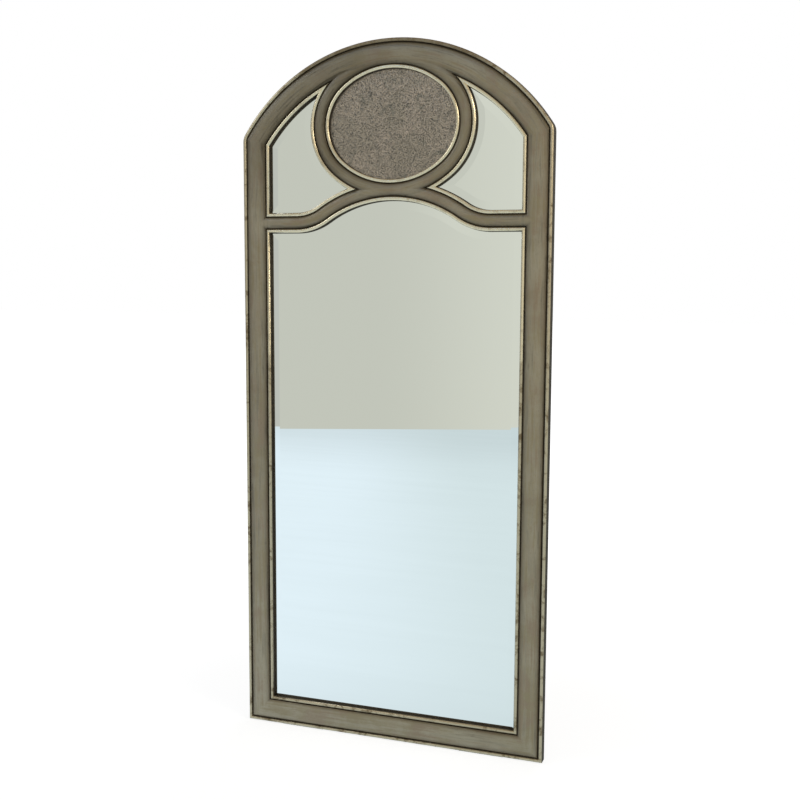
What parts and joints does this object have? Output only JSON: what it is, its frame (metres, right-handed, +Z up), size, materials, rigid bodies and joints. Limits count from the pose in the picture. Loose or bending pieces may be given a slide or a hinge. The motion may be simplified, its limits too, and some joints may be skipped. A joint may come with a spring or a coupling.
{
  "type": "floor mirror",
  "caption": "Arched full-length floor mirror: wood frame with beaded edges, ogee rail, bevelled panes and an oval antiqued medallion.",
  "frame": {"origin": "centre of the footprint, on the floor under the pads", "axes": "+X across the mirror to the viewer's right, +Z up, -Y out of the glass towards the viewer"},
  "size_m": [0.975, 0.044, 2.1395],
  "materials": {
    "frame_leaf": "antiqued pewter leaf, semi-gloss",
    "bead_leaf": "champagne leaf, burnished",
    "clear_mirror": "silvered glass, polished",
    "antique_mirror": "antiqued silvering, foxed",
    "hardboard": "raw hardboard, matte",
    "raw_wood": "unfinished, matte",
    "zinc_steel": "zinc plated",
    "felt": "dense felt",
    "rubber_pad": "matte"
  },
  "bodies": {
    "frame": {"arch_crown": "frame_leaf", "arch_side_left": "frame_leaf", "arch_side_right": "frame_leaf", "back_panel": "hardboard", "bottom_rail": "frame_leaf", "cross_rail_center": "frame_leaf", "cross_rail_left": "frame_leaf", "cross_rail_right": "frame_leaf", "floor_pads": "rubber_pad", "frame_dowels": "raw_wood", "glue_blocks": "raw_wood", "hanger_screws": "zinc_steel", "hanger_strap_left": "zinc_steel", "hanger_strap_right": "zinc_steel", "main_backer": "hardboard", "main_bead_bottom": "bead_leaf", "main_bead_left": "bead_leaf", "main_bead_ogee_left": "bead_leaf", "main_bead_ogee_right": "bead_leaf", "main_bead_right": "bead_leaf", "main_mirror": "clear_mirror", "medallion_backer": "hardboard", "medallion_bead": "bead_leaf", "medallion_mirror": "antique_mirror", "medallion_side_left": "frame_leaf", "medallion_side_right": "frame_leaf", "mitre_splines": "raw_wood", "outer_bead_arch_left": "bead_leaf", "outer_bead_arch_right": "bead_leaf", "outer_bead_bottom": "bead_leaf", "outer_bead_left": "bead_leaf", "outer_bead_right": "bead_leaf", "panel_screws": "zinc_steel", "spandrel_backer_left": "hardboard", "spandrel_backer_right": "hardboard", "spandrel_bead_arch_left": "bead_leaf", "spandrel_bead_arch_right": "bead_leaf", "spandrel_bead_ring_left": "bead_leaf", "spandrel_bead_ring_right": "bead_leaf", "spandrel_bead_side_left": "bead_leaf", "spandrel_bead_side_right": "bead_leaf", "spandrel_bead_sill_left": "bead_leaf", "spandrel_bead_sill_right": "bead_leaf", "spandrel_mirror_left": "clear_mirror", "spandrel_mirror_right": "clear_mirror", "stile_left": "frame_leaf", "stile_right": "frame_leaf", "wall_bumpers": "felt"},
    "ring_left": {"hanger_ring_left": "zinc_steel"},
    "ring_right": {"hanger_ring_right": "zinc_steel"}
  },
  "joints": [
    {"name": "ring_left_swing", "type": "hinge", "parent": "frame", "child": "ring_left", "pos_m": [-0.4645, 0.0179, 1.69993], "axis": [1, 0, 0], "range_deg": [0, 180]},
    {"name": "ring_right_swing", "type": "hinge", "parent": "frame", "child": "ring_right", "pos_m": [0.4645, 0.0179, 1.69993], "axis": [1, 0, 0], "range_deg": [0, 180]}
  ]
}
